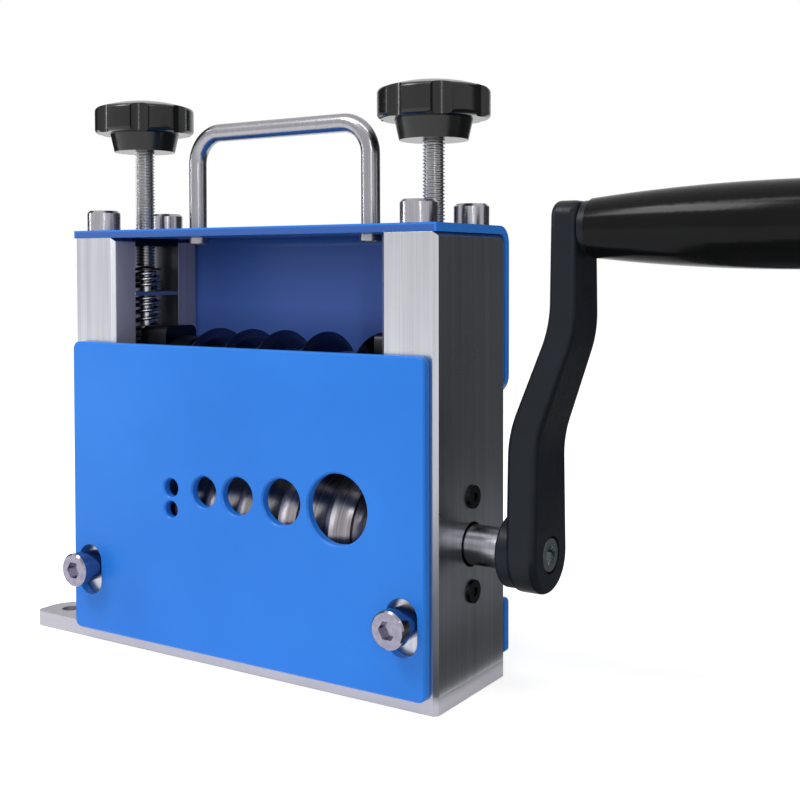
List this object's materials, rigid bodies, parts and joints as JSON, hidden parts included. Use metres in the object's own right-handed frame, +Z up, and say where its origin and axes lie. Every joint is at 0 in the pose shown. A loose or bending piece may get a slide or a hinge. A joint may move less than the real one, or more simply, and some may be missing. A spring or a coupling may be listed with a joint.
{
  "type": "hand crank wire stripper",
  "caption": "Bench-top wire stripper with a side crank, a grooved feed roller, sprung cutting discs set by star knobs, a drilled front panel and a carrying handle",
  "frame": {"origin": "middle of the body's underside, between the side blocks", "axes": "+X along the shafts to the crank, +Y to the back, +Z up"},
  "size_m": [0.3371, 0.067, 0.2176],
  "materials": {
    "blue_sheet": "smooth gloss paint",
    "side_block": "brushed",
    "base": "satin",
    "bright_screw": "polished",
    "dark_screw": "blackened",
    "handle_rod": "polished",
    "threaded_rod": "zinc plated",
    "spring_steel": "bright wire",
    "dark_steel": "blackened",
    "bearing_bronze": "sintered bronze",
    "roller_steel": "turned",
    "tool_steel": "ground",
    "crank_cast": "black paint",
    "knob_plastic": "moulded",
    "grip_plastic": "polished"
  },
  "bodies": {
    "frame": {"base_plate": "base", "base_screws": "dark_screw", "left_side_block": "side_block", "right_side_block": "side_block", "screw_insert_plates": "dark_steel", "top_rear_cover": "blue_sheet", "rear_lower_panel": "blue_sheet", "top_cap_screws": "bright_screw", "rear_panel_screws": "dark_screw", "front_shoulder_screws": "bright_screw", "carry_handle": "handle_rod", "handle_screws": "dark_screw", "left_flange_bearing": "bearing_bronze", "right_flange_bearing": "bearing_bronze", "bearing_screws": "dark_screw"},
    "feed_panel": {"front_panel": "blue_sheet"},
    "height_carriage": {"spring_seat_plates": "dark_steel", "left_upper_spring": "spring_steel", "right_upper_spring": "spring_steel"},
    "left_screw": {"left_adjusting_screw": "threaded_rod", "left_retaining_ring": "dark_steel", "left_star_knob": "knob_plastic"},
    "right_screw": {"right_adjusting_screw": "threaded_rod", "right_retaining_ring": "dark_steel", "right_star_knob": "knob_plastic"},
    "bearing_carriage": {"left_bearing_block": "dark_steel", "right_bearing_block": "dark_steel", "arbor_bushes": "bearing_bronze", "left_main_spring": "spring_steel", "right_main_spring": "spring_steel"},
    "arbor": {"blade_shaft": "roller_steel", "arbor_end_collar": "dark_steel", "disc_spacers": "roller_steel", "cutting_disc_1": "tool_steel", "cutting_disc_2": "tool_steel", "cutting_disc_3": "tool_steel", "cutting_disc_4": "tool_steel", "cutting_disc_5": "tool_steel"},
    "crank": {"roller_shaft": "roller_steel", "feed_roller": "roller_steel", "crank_arm": "crank_cast", "crank_retaining_screw": "bright_screw", "grip_spindle": "roller_steel"},
    "grip": {"crank_grip": "grip_plastic"}
  },
  "joints": [
    {"name": "blade_height", "type": "slide", "parent": "frame", "child": "height_carriage", "axis": [0, 0, 1], "range_m": [-0.0074, 0.008]},
    {"name": "left_screw_turn", "type": "hinge", "parent": "height_carriage", "child": "left_screw", "pos_m": [-0.0695, 0, 0.16], "axis": [0, 0, 1], "range_deg": [-2140, 2310]},
    {"name": "right_screw_turn", "type": "hinge", "parent": "height_carriage", "child": "right_screw", "pos_m": [0.0695, 0, 0.16], "axis": [0, 0, 1], "range_deg": [-2140, 2310]},
    {"name": "blade_press", "type": "slide", "parent": "height_carriage", "child": "bearing_carriage", "axis": [0, 0, 1], "range_m": [0, 0.002], "stiffness_N_per_m": 8000, "springref_m": -0.004, "deforming": ["left_main_spring", "right_main_spring"]},
    {"name": "arbor_spin", "type": "hinge", "parent": "bearing_carriage", "child": "arbor", "pos_m": [0, 0, 0.1027], "axis": [1, 0, 0], "continuous": true},
    {"name": "crank_spin", "type": "hinge", "parent": "frame", "child": "crank", "pos_m": [0, 0, 0.053], "axis": [1, 0, 0], "continuous": true},
    {"name": "grip_spin", "type": "hinge", "parent": "crank", "child": "grip", "pos_m": [0.18, 0, 0.1617], "axis": [1, 0, 0], "continuous": true},
    {"name": "front_panel_height", "type": "slide", "parent": "frame", "child": "feed_panel", "axis": [0, 0, 1], "range_m": [-0.0023, 0.005]}
  ],
  "couplings": [
    {"joint": "left_screw_turn", "follows": "blade_height", "rad_per_m": 5026.5},
    {"joint": "right_screw_turn", "follows": "blade_height", "rad_per_m": 5026.5}
  ]
}
